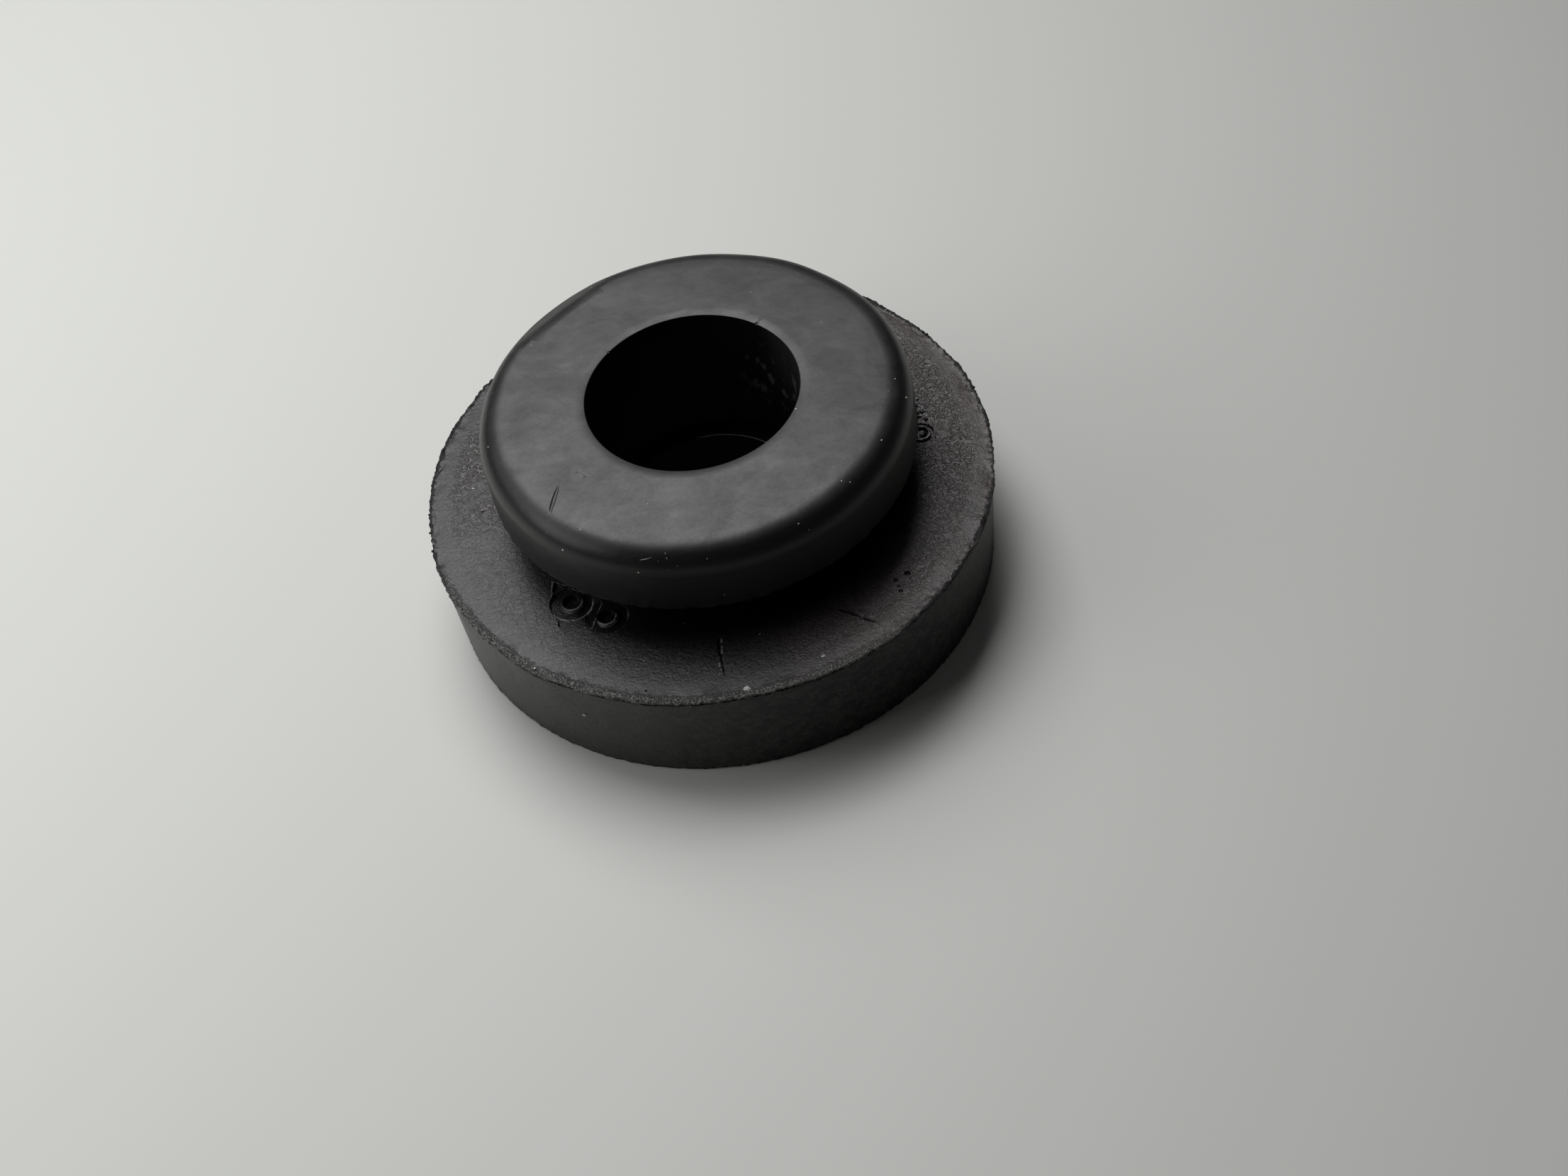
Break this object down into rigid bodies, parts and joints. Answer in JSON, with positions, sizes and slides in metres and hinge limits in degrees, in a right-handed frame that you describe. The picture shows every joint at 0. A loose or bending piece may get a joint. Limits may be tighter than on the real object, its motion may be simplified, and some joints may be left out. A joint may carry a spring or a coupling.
{
  "type": "rubber grommet",
  "caption": "Thick flanged rubber grommet with a rolled bead, a neck groove for a panel edge and a stepped through bore.",
  "frame": {"origin": "centre of the flange's base, on the axis of the bore", "axes": "+Z along the bore, from the flange up to the bead"},
  "size_m": [0.05, 0.05, 0.02],
  "materials": {
    "black_rubber": "moulded black rubber with a dull satin skin, darker and rougher at the trimmed edges"
  },
  "bodies": {
    "root": {"grommet": "black_rubber"}
  },
  "joints": []
}
